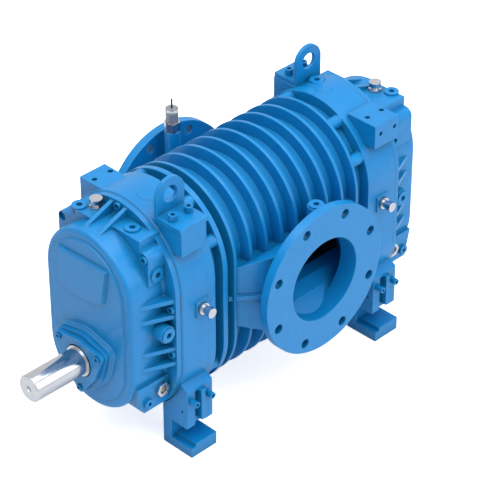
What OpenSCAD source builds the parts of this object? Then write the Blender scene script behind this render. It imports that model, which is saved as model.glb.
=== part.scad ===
// Rotary lobe blower: two three-lobe rotors turn in a ribbed casing, one shaft above the other.
// Millimetres. +X runs along the shafts away from the drive end, -Y is the near pipe flange,
// +Z is up. The origin lies on the floor in the middle of the four feet.

/* [Rotors] */
// Distance between the two shaft axes
shaft_gap = 170; // [165:5:175]
// Length of the rotor casing between its end plates
casing_length = 492; // [460:2:520]
// Radial play between rotor tips and casing bore
tip_play = 0.5; // [0.3:0.1:0.8]
// Play taken off each rotor flank
flank_play = 0.2; // [0.15:0.05:0.3]

/* [Casing] */
// Height of the middle of the casing above the floor
axis_height = 315; // [310:1:325]
// Wall of the casing round the rotors
casing_wall = 12; // [10:1:14]
// Radius of the cooling ribs and end plates
rib_radius = 161; // [158:1:166]
// Number of cooling ribs
rib_count = 9; // [7:1:9]
// Distance from one rib to the next
rib_pitch = 45; // [43:1:46]
// Thickness of a rib at its crest
rib_crest = 7; // [5:1:9]

/* [Pipe flanges] */
// Outside diameter of a pipe flange
flange_od = 340; // [335:1:345]
// Bolt circle of a pipe flange
flange_pcd = 295; // [290:1:298]
// Bolt holes in a pipe flange
flange_holes = 8; // [8:4:8]
// Diameter of a flange bolt hole
flange_hole_d = 22; // [18:1:22]
// Diameter of the gas passage
flange_bore = 190; // [180:2:196]
// Thickness of a pipe flange
flange_thick = 20; // [18:1:24]
// Distance between the two flange faces
face_to_face = 481; // [476:1:500]
// Offset of the flanges from the casing middle, away from the drive
flange_offset = 16; // [12:1:20]

/* [End plates and covers] */
// Thickness of an end plate
plate_thick = 71; // [68:1:76]
// Depth of an end cover
cover_depth = 103; // [101:1:106]
// How far an end cover drum stands in from the crests of the ribs
cover_inset = 35; // [33:1:37]
// Wall of an end cover
cover_wall = 14; // [12:1:14]

/* [Shafts] */
// Diameter of the drive shaft end
shaft_end_d = 60; // [55:1:64]
// Length of the drive shaft end
shaft_end_length = 130; // [120:5:150]
// Diameter of the bearing seats
bearing_bore = 70; // [70:1:71]
// Outside diameter of the bearings
bearing_od = 150; // [148:1:150]
// Width of the bearings
bearing_width = 35; // [33:1:36]
// Balls in each bearing
ball_count = 9; // [7:1:9]
// Tooth module of the timing gears
gear_module = 5; // [5:5:5]
// Width of the timing gears
gear_width = 40; // [34:1:42]

/* [Feet] */
// Length of a foot along the shafts
foot_length = 71; // [66:1:71]
// How far the foundation holes stand in from the rims of the end plates
foot_hole_in = 21; // [19:1:23]

/* [Hidden] */
$fn = 64;
seat = 0.02;
running = 0.05;

// rotor form: lobe circles on a smaller circle, valleys rolled out by the other rotor's lobes
lobes = 3;
half_lobe = 180 / lobes / 2;
pitch_r = shaft_gap / 2;
tip_r = shaft_gap * 0.7176;
lobe_centre = (tip_r * tip_r - pitch_r * pitch_r) / (2 * (tip_r - pitch_r * cos(half_lobe)));
lobe_r = tip_r - lobe_centre;
chamber_r = tip_r + tip_play - flank_play;
end_play = 0.3;
rotor_length = casing_length - 2 * end_play;

z_mid = axis_height;
z_low = z_mid - shaft_gap / 2;
z_high = z_mid + shaft_gap / 2;
axes_z = [z_low, z_high];

casing_x = casing_length / 2;
plate_x = casing_x + plate_thick;
gasket = 1;
cover_x = plate_x + gasket;
cover_front = cover_x + cover_depth;
shell_r = chamber_r + casing_wall;
plate_r = rib_radius + 2;
cover_radius = rib_radius - cover_inset;

// rows of screws that hold plates and covers
rim_screw_r = rib_radius - 13;
casing_screw_angles = [27, 62, 118, 153];
cover_foot_r = plate_r - 3;
cover_foot = 12;
cover_screw_seat = 6;
cover_lip = 10;
front_step = 4;
screw_r = 6;
screw_head_r = 9;
screw_head = 12;
plate_screw_seat = 14;
small_screw_r = 4;
small_head_r = 6.5;
small_head = 8;

// pipe flanges and necks
flange_y = face_to_face / 2;
neck_root_y = rib_radius - 11;
neck_root_x = 180;
neck_root_z = 70;
neck_end_x = flange_bore / 2 + 18;
neck_end_z = flange_bore / 2 + 15;
neck_wall = 12;
neck_web = 10;
neck_boss_x = 30;
neck_boss_y = 184;
sensor_boss_x = 26;
plug_boss_top = z_mid + 143;
sensor_boss_top = z_mid + 188;

// shaft stack, measured outwards from a plate's inner face
bearing_r = bearing_od / 2;
seat_r = bearing_bore / 2;
core_r = seat_r + 5;
bearing_in = plate_x - bearing_width;
labyrinth_r = 60;
labyrinth_length = 26;
web_hole_r = core_r + 4;
nut_width = 14;
retainer_thick = 6;
retainer_r = bearing_r + 17;
sleeve_end = plate_x + 17;
gear_end = sleeve_end + gear_width;
gear_seat_r = seat_r - 2.5;
thread_r = gear_seat_r - 2.5;
gear_nut_end = gear_end + 2 + nut_width;
shaft_r_end = shaft_end_d / 2;
seal_boss = 19;
seal_cover = 10;
seal_face = cover_front + front_step + seal_boss + seal_cover;
shaft_tip = seal_face + 2 + shaft_end_length;
seal_r = seat_r + 10;
key_in = 12;
key_length = shaft_end_length - 24;
seal_width = 10;
lobe_boss_r = 67;
ear_seat = 4;

// corner blocks for lifting eyes
block_drop = 15;
block_top = z_high + plate_r - block_drop;
block_bottom = block_top - 55;
block_gap = 4;
crown_y = round(sqrt(plate_r * plate_r - pow(plate_r - block_drop, 2)));
far_eye_y = crown_y + 1;
near_eye_y = -far_eye_y - 26;
near_block = [1 - plate_r, near_eye_y + 12];
far_block = [far_eye_y - 3, far_eye_y + 65];
near_screw_y = near_eye_y - 28;
far_screw_y = far_eye_y + 37;
eye_base = 10;
eye_thick = 8;
eye_width = 75;
eye_rise = 49;
eye_shift = 2;
eye_hole_r = 18.5;
block_screw_step = 43;
eye_screw_length = 30;
eye_screw_head = 14;

// side plugs in the neutral chambers of the plates
side_plug_z = z_mid + 35;
drive_side_plug_x = -(casing_x + 17);
rear_side_plug_x = casing_x + 27;
side_boss = 4;

// flat plug on top of the rear plate
top_plug_x = casing_x + 42;
top_plug_y = 46;
top_plug_z = z_high + plate_r - 7;
spot_r = 18;

// feet, their screws into the plates and the holes for the foundation
foot_x = casing_x + plate_thick / 2;
foot_inner = plate_r - 63;
foot_web = plate_r - 38;
foot_face = plate_r + 10;
foot_toe = plate_r + 21;
foot_spread = 2 * (plate_r - foot_hole_in);
toe_top = 31;
gap_top = 69;
foot_screw_z = z_low - 92;
foot_screw_x = [-24, 20];
foot_screw_r = 5;
foot_screw_head_r = 7;
foot_screw_head = 26;
foot_screw_length = 48;
foot_screw_seat = foot_face - 7;
foot_top = z_low - 52;
foot_rib_x = [-3, 9];
foot_groove_x = [-14, 14];
foot_groove = 9;
foundation_hole_r = 7;
foundation_hole_depth = 22;
foot_pin_y = foot_web + 33;
foot_pin_z = z_low - 122;

// screw plugs of the covers: [across, distance in x from the cover's foot face]
drive_pad = 52;
drive_far_pad = 63;
rear_pad = 86;
pad_top = z_high + cover_radius + 5;
pad_inner = 24;
near_pad_outer = 103;
far_pad_outer = 90;
corner_seat = 44;
knuckle_z = [z_high + 32, z_high + cover_radius - 17];
knuckle_inner = 40;
knuckle_r = 18;
drive_top_plug = [44 - near_pad_outer, 30];
drive_far_plug = [far_pad_outer - 15, 50];
drive_filler = [far_pad_outer - 42, 29];
rear_top_plug = [31 - near_pad_outer, 79];
rear_filler = [62 - near_pad_outer, 60];
rear_far_plug = [far_pad_outer - 31, 28];
side_plug_in = 30;
side_plug_rise = 22;
mid_plug_in = 31;
mid_plug_rise = 6;
mid_boss = 19;
mid_boss_y = cover_radius + 29;
sump_z = [z_low - 96, z_low - 32];
sump_y = cover_radius + 4;
sump_depth = [79, 93];
sight_at = [31, z_low - 57];
drain_at = [68, z_low - 75];
gusset_z = [-77, -40, 40, 77];
gusset_y = 20;
gusset = 9;
gusset_tip = 26;

plug_flange_r = 16;
plug_flange = 4;
plug_socket_r = 7;
plug_shank_r = 13;
plug_shank = 14;

enamel = [0.13, 0.45, 0.75];
steel = [0.75, 0.76, 0.78];
dark_steel = [0.35, 0.36, 0.38];
iron = [0.45, 0.45, 0.46];
brass = [0.75, 0.6, 0.3];
copper = [0.75, 0.42, 0.25];
rubber = [0.1, 0.1, 0.1];
paper = [0.35, 0.3, 0.25];
glass = [0.85, 0.9, 0.85];

// Draws a flat shape given in Y and Z and extends it from x by length along +X.
module along_x(x, length) translate([x, 0, 0]) rotate([90, 0, 90]) linear_extrude(length) children();

// Draws a flat shape given in X and Z and extends it from y by length along +Y.
module along_y(y, length) translate([0, y + length, 0]) rotate([90, 0, 0])
  linear_extrude(length) children();

module rod_x(x, y, z, r, length) translate([x, y, z]) rotate([0, 90, 0]) cylinder(r = r, h = length);

module rod_y(x, y, z, r, length) translate([x, y, z]) rotate([-90, 0, 0]) cylinder(r = r, h = length);

// A closed form round both shafts from an outline of [x, radius] points.
module oblong(outline) {
  last = len(outline) - 1;
  half = concat([[0, outline[0][0]]], [for (p = outline) [p[1], p[0]]], [[0, outline[last][0]]]);
  both = concat(outline, [for (i = [last:-1:0]) [outline[i][0], -outline[i][1]]]);
  for (end = [[z_high, 90], [z_low, 270]])
    translate([0, 0, end[0]]) rotate([0, 90, 0]) rotate([0, 0, end[1]])
      rotate_extrude(angle = 180) polygon(half);
  translate([0, 0, z_low]) linear_extrude(shaft_gap) polygon(both);
}

module both_ends() for (side = [0, 1]) mirror([side, 0, 0]) children();

// Places on the rim of an end plate: [y, z] round both arcs at the given angles.
function rim_places(angles, r) = concat(
  [for (a = angles) [r * cos(a), z_high + r * sin(a)]],
  [for (a = angles) [r * cos(a), z_low - r * sin(a)]]
);
casing_screw_places = rim_places(casing_screw_angles, rim_screw_r);
cover_screw_places = concat(
  rim_places([90], rim_screw_r),
  [for (y = [-1, 1], z = [-55, 55]) [y * rim_screw_r, z_mid + z]],
  [for (y = [-1, 1]) [y * rim_screw_r * sin(40), z_low - rim_screw_r * cos(40)]]
);
corner_screw_y = rim_screw_r * cos(39);
corner_screw_z = z_high + rim_screw_r * sin(39);

// Socket head screw along +Z with its seat at the origin and the head above it.
module socket_screw(r, length, head_r, head) {
  difference() {
    union() {
      translate([0, 0, -length]) cylinder(r = r, h = length + 1);
      cylinder(r = head_r, h = head);
    }
    translate([0, 0, head * 0.45]) cylinder(r = head_r * 0.62, h = head, $fn = 6);
  }
}

// One of the screws that hold plates and covers, its head towards +X.
module socket_screw_x(x, y, z, length) translate([x, y, z]) rotate([0, 90, 0])
  socket_screw(screw_r, length, screw_head_r, screw_head);

// Screw plug with a flange and a hexagon socket, seat at the origin, facing +Z.
module screw_plug() {
  difference() {
    union() {
      translate([0, 0, -plug_shank]) cylinder(r = plug_shank_r, h = plug_shank + 1);
      cylinder(r = plug_flange_r, h = plug_flange);
    }
    translate([0, 0, -4]) cylinder(r = plug_socket_r, h = 20, $fn = 6);
  }
}

module plug_hole() translate([0, 0, -plug_shank - 1]) cylinder(r = plug_shank_r + seat, h = plug_shank + 2);

// Rotor casing: ribbed oblong barrel with two flanged necks.
first_rib = flange_offset - rib_pitch * (rib_count - 1) / 2;
last_rib = -first_rib + 2 * flange_offset;
rib_root = rib_crest + 5;
pocket_r = shell_r + 3;
drive_flange_end = -casing_x + 22;
drive_rim = [first_rib - 37, first_rib - 25];
rear_flange_start = casing_x - 16;
function rib_points(x) = [
  [x - rib_root / 2, shell_r], [x - rib_crest / 2, rib_radius],
  [x + rib_crest / 2, rib_radius], [x + rib_root / 2, shell_r]
];
casing_outline = concat(
  [[-casing_x, plate_r], [drive_flange_end, plate_r], [drive_flange_end + 1, pocket_r],
   [drive_rim[0], pocket_r], [drive_rim[0], rib_radius + 2], [drive_rim[1], rib_radius + 2],
   [drive_rim[1] + 2, shell_r]],
  [for (i = [0:rib_count - 1]) each rib_points(first_rib + i * rib_pitch)],
  [[last_rib + rib_root, pocket_r], [rear_flange_start - 1, pocket_r],
   [rear_flange_start, plate_r], [casing_x, plate_r]]
);

module neck_plan(grow, root_y) polygon([
  [flange_offset - neck_root_x + grow, -root_y], [flange_offset - neck_end_x + grow, -flange_y + 36],
  [flange_offset - neck_end_x + grow, -flange_y + 2], [flange_offset + neck_end_x - grow, -flange_y + 2],
  [flange_offset + neck_end_x - grow, -flange_y + 36], [flange_offset + neck_root_x - grow, -root_y],
  [flange_offset + neck_root_x - grow, 0], [flange_offset - neck_root_x + grow, 0]
]);

module neck_side(grow, root_y) polygon([
  [0, z_mid - neck_root_z + grow], [-root_y, z_mid - neck_root_z + grow],
  [-flange_y + 2, z_mid - neck_end_z + grow], [-flange_y + 2, z_mid + neck_end_z - grow],
  [-root_y, z_mid + neck_root_z - grow], [0, z_mid + neck_root_z - grow]
]);

// The neck swells from a wide slot at the barrel to a square behind the round flange.
module neck_form(grow) intersection() {
  translate([0, 0, z_mid - neck_end_z - 5]) linear_extrude(2 * neck_end_z + 10)
    neck_plan(grow, neck_root_y);
  along_x(flange_offset - neck_root_x - 5, 2 * neck_root_x + 10) neck_side(grow, neck_root_y);
}

module neck_outside() {
  neck_form(0);
  rod_y(flange_offset, -flange_y, z_mid, flange_od / 2, flange_thick);
  translate([0, 0, z_mid - neck_web / 2]) linear_extrude(neck_web) neck_plan(-neck_web, neck_root_y);
}

module neck_inside() {
  intersection() {
    neck_form(neck_wall);
    translate([flange_offset - neck_root_x, -flange_y + 45, z_mid - neck_end_z])
      cube([2 * neck_root_x, flange_y, 2 * neck_end_z]);
  }
  rod_y(flange_offset, -flange_y - 1, z_mid, flange_bore / 2, 60);
  for (i = [0:flange_holes - 1])
    rod_y(
      flange_offset + flange_pcd / 2 * cos((i + 0.5) * 360 / flange_holes), -flange_y - 1,
      z_mid + flange_pcd / 2 * sin((i + 0.5) * 360 / flange_holes), flange_hole_d / 2, flange_thick + 2
    );
}

// Turns a shape half round the vertical axis through the flange middle.
module on_far_side() translate([2 * flange_offset, 0, 0]) rotate([0, 0, 180]) children();

module casing_lugs() {
  for (p = casing_screw_places) {
    rod_x(-casing_x, p[0], p[1], 14, drive_rim[1] + casing_x);
    rod_x(last_rib, p[0], p[1], 14, casing_x - last_rib);
  }
}

module rotor_casing() color(enamel) difference() {
  union() {
    oblong(casing_outline);
    casing_lugs();
    neck_outside();
    on_far_side() neck_outside();
    translate([flange_offset + neck_boss_x, -neck_boss_y, z_mid]) cylinder(r = 19, h = plug_boss_top - z_mid);
    translate([flange_offset - sensor_boss_x, neck_boss_y, z_mid])
      cylinder(r = 17, h = sensor_boss_top - z_mid);
  }
  for (z = axes_z) rod_x(-casing_x - 1, 0, z, chamber_r, casing_length + 2);
  neck_inside();
  on_far_side() neck_inside();
  for (p = casing_screw_places) {
    rod_x(-casing_x - 1, p[0], p[1], screw_r + seat, 31);
    rod_x(casing_x - 30, p[0], p[1], screw_r + seat, 31);
  }
  translate([flange_offset + neck_boss_x, -neck_boss_y, plug_boss_top]) plug_hole();
  translate([flange_offset - sensor_boss_x, neck_boss_y, sensor_boss_top - 20])
    cylinder(r = 8 + seat, h = 21);
}

// End plate, drawn for the rear end: bearings outside, labyrinths inside.
module corner_block(y_range, length) translate([casing_x, y_range[0], block_bottom])
  cube([length, y_range[1] - y_range[0], block_top - block_bottom]);

module plate_form() oblong([[casing_x, plate_r], [plate_x - 3, plate_r], [plate_x, plate_r - 3]]);

module block_top_holes(x, y) for (s = [-0.5, 0.5])
  translate([x + s * block_screw_step, y, block_top - 24]) cylinder(r = 6 + seat, h = 25);

module block_side_holes(x, y) for (s = [-0.5, 0.5])
  rod_y(x + s * block_screw_step, y - 18, block_top - 24, 5, 36);

module plate_bores() {
  for (z = axes_z) {
    rod_x(casing_x - 1, 0, z, labyrinth_r + seat, labyrinth_length + 1);
    rod_x(casing_x, 0, z, web_hole_r, plate_thick);
    rod_x(bearing_in, 0, z, bearing_r + seat, bearing_width + 1);
  }
  for (p = casing_screw_places) {
    rod_x(casing_x - 1, p[0], p[1], screw_r + 0.5, plate_thick + 2);
    rod_x(plate_x - plate_screw_seat, p[0], p[1], screw_head_r + 1, plate_screw_seat + 1);
  }
  for (p = cover_screw_places) rod_x(plate_x - 26, p[0], p[1], screw_r + seat, 27);
  for (s = [-1, 1]) rod_x(plate_x - 26, s * corner_screw_y, corner_screw_z, screw_r + seat, 27);
  for (p = retainer_places) rod_x(plate_x - 20, p[0], p[1], small_screw_r + seat, 21);
}

module foot_screw_bores() place_foot_screws() translate([0, 0, -foot_screw_length - 12])
  cylinder(r = foot_screw_r + seat, h = foot_screw_length + 12);

retainer_places = concat(
  [for (y = [-1, 1], z = axes_z) [y * (bearing_r + 8.5), z]],
  [[0, z_high + bearing_r + 8.5], [0, z_low - bearing_r - 8.5]]
);

module side_plug_boss(x) for (side = [-1, 1])
  translate([x - 17, side > 0 ? plate_r - 1 : -plate_r - side_boss, side_plug_z - 19])
    cube([34, side_boss + 1, 38]);

module side_plug_bore(x) for (side = [-1, 1])
  rod_y(x, side > 0 ? plate_r - 22 : -plate_r - 8, side_plug_z, 8 + seat, 30);

// Low raised tongue that runs along the crown of a plate; ends are given as [x, y].
rear_tongue = [[casing_x + 28, 40], [casing_x + 22, 8]];
drive_tongue = [[casing_x + 24, -62], [casing_x + 30, -22]];
module plate_tongue(ends) intersection() {
  oblong([[casing_x + 2, plate_r + 1.2], [plate_x - 4, plate_r + 1.2]]);
  union() {
    for (e = ends) translate([e[0], e[1], z_high]) cylinder(r = spot_r, h = plate_r + 5);
    translate([ends[0][0] - spot_r + 1, min(ends[0][1], ends[1][1]), z_high])
      cube([2 * spot_r - 8, abs(ends[1][1] - ends[0][1]), plate_r + 5]);
  }
}

drive_eye_x = casing_x + (plate_thick - block_gap) / 2 - eye_shift;
rear_eye_x = casing_x + (plate_thick + block_gap) / 2 + eye_shift;

module drive_end_plate() color(enamel) mirror([1, 0, 0]) difference() {
  union() {
    plate_form();
    corner_block(near_block, plate_thick - block_gap);
    corner_block(far_block, plate_thick - block_gap);
    side_plug_boss(-drive_side_plug_x);
    plate_tongue(drive_tongue);
  }
  plate_bores();
  mirror([1, 0, 0]) foot_screw_bores();
  side_plug_bore(-drive_side_plug_x);
  block_top_holes(drive_eye_x, near_screw_y);
  block_top_holes(drive_eye_x, far_screw_y);
  block_side_holes(drive_eye_x, far_block[1]);
}

module rear_end_plate() color(enamel) difference() {
  union() {
    plate_form();
    corner_block(near_block, plate_thick);
    corner_block(far_block, plate_thick - block_gap);
    side_plug_boss(rear_side_plug_x);
    translate([top_plug_x, top_plug_y, top_plug_z - 30]) cylinder(r = spot_r, h = 30);
    plate_tongue(rear_tongue);
  }
  plate_bores();
  foot_screw_bores();
  side_plug_bore(rear_side_plug_x);
  block_top_holes(rear_eye_x, near_screw_y);
  block_top_holes(rear_eye_x, far_screw_y);
  block_side_holes(rear_eye_x, near_block[0]);
  translate([top_plug_x, top_plug_y, top_plug_z]) {
    plug_hole();
    cylinder(r = spot_r, h = 20);
  }
}

// End cover, drawn for the rear end.
module gusset_side(z) for (side = [-1, 1])
  translate([0, 0, z_mid + z - gusset / 2]) linear_extrude(gusset) polygon([
    [cover_x + 1, side * (cover_radius - 4)], [cover_front - gusset_tip, side * (cover_radius - 4)],
    [cover_front - gusset_tip, side * (cover_radius + 0.5)], [cover_x + 1, side * (cover_foot_r - 1)]
  ]);

module gusset_top(y) for (side = [-1, 1]) {
  root = shaft_gap / 2 + sqrt(cover_radius * cover_radius - y * y);
  translate([0, y + gusset / 2, z_mid]) rotate([90, 0, 0]) linear_extrude(gusset) polygon([
    [cover_x + 1, side * (root - 6)], [cover_front - 16, side * (root - 6)],
    [cover_front - 16, side * root], [cover_x + 1, side * (shaft_gap / 2 + cover_foot_r - 3)]
  ]);
}

// Squared corner with a flat pad on top and a rounded knuckle beside it.
module shoulder(side, depth) {
  outer = side > 0 ? far_pad_outer : near_pad_outer;
  translate([cover_x, side > 0 ? pad_inner : -outer, z_high])
    cube([depth, outer - pad_inner, pad_top - z_high]);
  translate([cover_x, side > 0 ? knuckle_inner : -cover_radius, knuckle_z[0]])
    cube([depth, cover_radius - knuckle_inner, knuckle_z[1] - knuckle_z[0] - knuckle_r]);
  translate([cover_x, side > 0 ? knuckle_inner : knuckle_r - cover_radius, knuckle_z[1] - knuckle_r - 1])
    cube([depth, cover_radius - knuckle_inner - knuckle_r, knuckle_r + 1]);
  rod_x(cover_x, side * (cover_radius - knuckle_r), knuckle_z[1] - knuckle_r, knuckle_r, depth);
}

module sump_block() along_y(-sump_y, sump_y - 40) polygon([
  [cover_x, sump_z[0]], [cover_x + sump_depth[0], sump_z[0]],
  [cover_x + sump_depth[1], sump_z[1]], [cover_x, sump_z[1]]
]);

module cover_body(near_pad, far_pad) {
  oblong([
    [cover_x, cover_foot_r], [cover_x + cover_foot, cover_foot_r], [cover_x + cover_foot, cover_radius + 4],
    [cover_x + cover_foot + 4, cover_radius],
    for (a = [0:15:90]) [cover_front - cover_lip * (1 - sin(a)), cover_radius - cover_lip * (1 - cos(a))],
    [cover_front, cover_radius - 21], [cover_front + front_step, cover_radius - 23]
  ]);
  for (z = gusset_z) gusset_side(z);
  for (y = [-gusset_y, gusset_y]) gusset_top(y);
  shoulder(-1, near_pad);
  shoulder(1, far_pad);
  sump_block();
  rod_y(cover_x + mid_plug_in, -mid_boss_y, z_mid + mid_plug_rise, mid_boss, mid_boss_y - cover_radius + 20);
}

module cover_hollow() {
  oblong([
    [cover_x - 1, cover_radius - cover_wall], [cover_front - cover_wall, cover_radius - cover_wall],
    [cover_front - cover_wall + 5, cover_radius - cover_wall - 5]
  ]);
  for (p = cover_screw_places) {
    rod_x(cover_x - 1, p[0], p[1], screw_r + 0.5, cover_foot + 2);
    rod_x(cover_x + cover_screw_seat, p[0], p[1], screw_head_r + 1, cover_depth);
  }
  for (s = [-1, 1]) {
    rod_x(cover_x - 1, s * corner_screw_y, corner_screw_z, screw_r + 0.5, cover_depth);
    rod_x(cover_x + corner_seat, s * corner_screw_y, corner_screw_z, screw_head_r + 1, cover_depth);
  }
  translate([cover_x + sight_at[0], -sump_y, sight_at[1]]) rotate([90, 0, 0]) translate([0, 0, -40])
    cylinder(r = 10 + seat, h = 41);
  translate([cover_x + drain_at[0], -sump_y, drain_at[1]]) rotate([90, 0, 0]) translate([0, 0, -24])
    cylinder(r = 8 + seat, h = 25);
  place_flank_plugs() plug_hole();
}

module place_flank_plugs() {
  translate([cover_x + side_plug_in, -cover_radius, knuckle_z[0] + side_plug_rise]) rotate([90, 0, 0])
    children();
  translate([cover_x + mid_plug_in, -mid_boss_y, z_mid + mid_plug_rise]) rotate([90, 0, 0]) children();
}

module place_top(at) translate([cover_x + at[1], at[0], pad_top]) children();

module filler_hole() translate([0, 0, -20]) cylinder(r = 9 + seat, h = 21);

// Three-eared boss and cover round the drive shaft.
ear_angles = [30, 150, 270];
module ear_places() for (a = ear_angles)
  translate([cos(a) * lobe_boss_r, z_low + sin(a) * lobe_boss_r]) children();

module eared_outline(r, ear) {
  tangent = acos((r - ear) / lobe_boss_r);
  c = cos(tangent);
  d = sin(tangent);
  translate([0, z_low]) circle(r = r);
  ear_places() circle(r = ear);
  translate([0, z_low]) for (a = ear_angles) rotate(a) polygon([
    [r * c - 1, -r * d + 0.4], [lobe_boss_r + ear * c - 0.5, -ear * d + 0.4],
    [lobe_boss_r + ear * c - 0.5, ear * d - 0.4], [r * c - 1, r * d - 0.4]
  ]);
}

// Bare raised shield on the upper half of the drive cover, its lower edge an arc.
shield_r = 130;
shield_y = 10;
module shield() polygon([
  [cover_radius - 49, z_high + cover_radius - 60], [56 - cover_radius, z_high + cover_radius - 55],
  for (y = [69 - cover_radius:15:cover_radius - 48])
    [y, z_high + 99 - sqrt(shield_r * shield_r - pow(y - shield_y, 2))]
]);

module drive_end_cover() color(enamel) mirror([1, 0, 0]) difference() {
  union() {
    cover_body(drive_pad, drive_far_pad);
    along_x(cover_front, front_step + seal_boss) eared_outline(62, 15);
    along_x(cover_front + front_step - 1, 4) shield();
  }
  cover_hollow();
  place_top(drive_top_plug) plug_hole();
  place_top(drive_far_plug) plug_hole();
  place_top(drive_filler) filler_hole();
  rod_x(cover_front - cover_wall - 1, 0, z_low, seat_r + 3, cover_wall + seal_boss + 10);
  rod_x(seal_face - seal_cover - seal_width, 0, z_low, seal_r + seat, seal_width + 1);
  along_x(seal_face - seal_cover - 18, 19) ear_places() circle(r = 4 + seat);
}

module rear_end_cover() color(enamel) difference() {
  cover_body(rear_pad, drive_pad);
  cover_hollow();
  place_top(rear_top_plug) plug_hole();
  place_top(rear_filler) filler_hole();
  place_top(rear_far_plug) plug_hole();
}

module cover_gasket() color(paper) along_x(plate_x, gasket) difference() {
  union() {
    for (z = axes_z) translate([0, z]) circle(r = cover_foot_r);
    translate([-cover_foot_r, z_low]) square([2 * cover_foot_r, shaft_gap]);
  }
  for (z = axes_z) translate([0, z]) circle(r = cover_radius - 6);
  translate([6 - cover_radius, z_low]) square([2 * cover_radius - 12, shaft_gap]);
  for (p = concat(cover_screw_places, [[corner_screw_y, corner_screw_z], [-corner_screw_y, corner_screw_z]]))
    translate(p) circle(r = 7);
  for (p = casing_screw_places) translate(p) circle(r = 10);
}

module drive_cover_gasket() mirror([1, 0, 0]) cover_gasket();

module rear_cover_gasket() cover_gasket();

// Foot: a C-shaped casting that hangs on the plate's flank by two screws, drawn near the rear end.
module foot_outline() polygon([
  [-foot_inner, 0], [-foot_toe, 0], [-foot_toe, toe_top], [-foot_web, toe_top], [-foot_web, gap_top],
  [-foot_face + 2, gap_top], [-foot_face, gap_top + 2], [-foot_face, foot_top - 12],
  [-plate_r + 9, foot_top], [-foot_inner, foot_top]
]);

module foot() color(enamel) difference() {
  union() {
    difference() {
      along_x(foot_x - foot_length / 2, foot_length) foot_outline();
      translate([foot_x + foot_groove_x[0], -foot_face - 1, gap_top - 1])
        cube([foot_groove_x[1] - foot_groove_x[0], foot_groove + 1, foot_top - 20 - gap_top]);
    }
    translate([foot_x + foot_rib_x[0], -foot_face - 9, gap_top + 14])
      cube([foot_rib_x[1] - foot_rib_x[0], foot_groove + 14, foot_top - gap_top - 34]);
  }
  oblong([[casing_x - 5, plate_r + 0.05], [plate_x + 5, plate_r + 0.05]]);
  for (x = foot_screw_x) {
    rod_y(foot_x + x, -foot_face - 1, foot_screw_z, foot_screw_head_r + 0.5, foot_face + 1 - foot_screw_seat);
    rod_y(foot_x + x, -foot_face, foot_screw_z, foot_screw_r + 0.5, 80);
  }
  translate([foot_x - foot_length / 2 - 1, -foot_toe - 1, toe_top - 8])
    cube([13, foot_toe - foot_web + 2, 20]);
  rod_x(foot_x - foot_length / 2 - 1, -foot_pin_y, foot_pin_z, 3, 13);
  translate([foot_x, -foot_spread / 2, -1]) cylinder(r = foundation_hole_r, h = foundation_hole_depth + 1);
}

module foot_rear_near() foot();

module foot_rear_far() mirror([0, 1, 0]) foot();

module foot_drive_near() translate([-2 * foot_x, 0, 0]) foot();

module foot_drive_far() mirror([0, 1, 0]) foot_drive_near();

module place_foot_screws() for (middle = [-foot_x, foot_x], side = [-1, 1], x = foot_screw_x)
  translate([middle + x, side * foot_screw_seat, foot_screw_z]) rotate([-90 * side, 0, 0]) children();

module foot_screws() color(enamel) place_foot_screws()
  socket_screw(foot_screw_r, foot_screw_length, foot_screw_head_r, foot_screw_head);

// Lifting eye: an angled bracket, its foot on the block and its eye on the inner side.
module lifting_eye(x, face_y, outer_y, screw_y) color(enamel) difference() {
  union() {
    translate([x - eye_width / 2, min(face_y, outer_y), block_top])
      cube([eye_width, abs(outer_y - face_y), eye_base]);
    along_y(face_y, eye_thick) {
      translate([x - eye_width / 2, block_top]) square([eye_width, eye_rise]);
      translate([x, block_top + eye_rise]) circle(r = eye_width / 2);
    }
  }
  rod_y(x, face_y - 1, block_top + eye_rise, eye_hole_r, eye_thick + 2);
  for (s = [-0.5, 0.5]) translate([x + s * block_screw_step, screw_y, block_top - 1])
    cylinder(r = 6.5, h = eye_base + 2);
}

module lifting_eye_drive() lifting_eye(-drive_eye_x, near_eye_y, near_block[0], near_screw_y);

module lifting_eye_rear() lifting_eye(rear_eye_x, far_eye_y, far_block[1], far_screw_y);

module lifting_eye_screws() color(enamel) for (s = [-0.5, 0.5]) {
  translate([-drive_eye_x + s * block_screw_step, near_screw_y, block_top + eye_base])
    socket_screw(screw_r, eye_screw_length, screw_head_r, eye_screw_head);
  translate([rear_eye_x + s * block_screw_step, far_screw_y, block_top + eye_base])
    socket_screw(screw_r, eye_screw_length, screw_head_r, eye_screw_head);
}

module plate_screws() color(dark_steel) for (p = casing_screw_places)
  socket_screw_x(plate_x - plate_screw_seat, p[0], p[1], plate_thick + 12);

module drive_plate_screws() mirror([1, 0, 0]) plate_screws();

module rear_plate_screws() plate_screws();

module cover_screws() color(enamel) {
  for (p = cover_screw_places)
    socket_screw_x(cover_x + cover_screw_seat, p[0], p[1], cover_screw_seat + 22);
  for (s = [-1, 1])
    socket_screw_x(cover_x + corner_seat, s * corner_screw_y, corner_screw_z, corner_seat + 22);
}

module drive_cover_screws() mirror([1, 0, 0]) cover_screws();

module rear_cover_screws() cover_screws();

module shaft_seal_cover() color(enamel) mirror([1, 0, 0]) difference() {
  along_x(seal_face - seal_cover, seal_cover) eared_outline(53, 12);
  rod_x(seal_face - seal_cover - 1, 0, z_low, seat_r + 2, seal_cover + 2);
  along_x(seal_face - seal_cover - 1, seal_cover + 2) ear_places() circle(r = 4.5);
  along_x(seal_face - ear_seat, ear_seat + 1) ear_places() circle(r = 7.5);
}

module seal_cover_screws() color(enamel) mirror([1, 0, 0]) for (a = ear_angles)
  translate([seal_face - ear_seat, cos(a) * lobe_boss_r, z_low + sin(a) * lobe_boss_r]) rotate([0, 90, 0])
    socket_screw(small_screw_r, seal_cover - ear_seat + 16, small_head_r, small_head);

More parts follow.
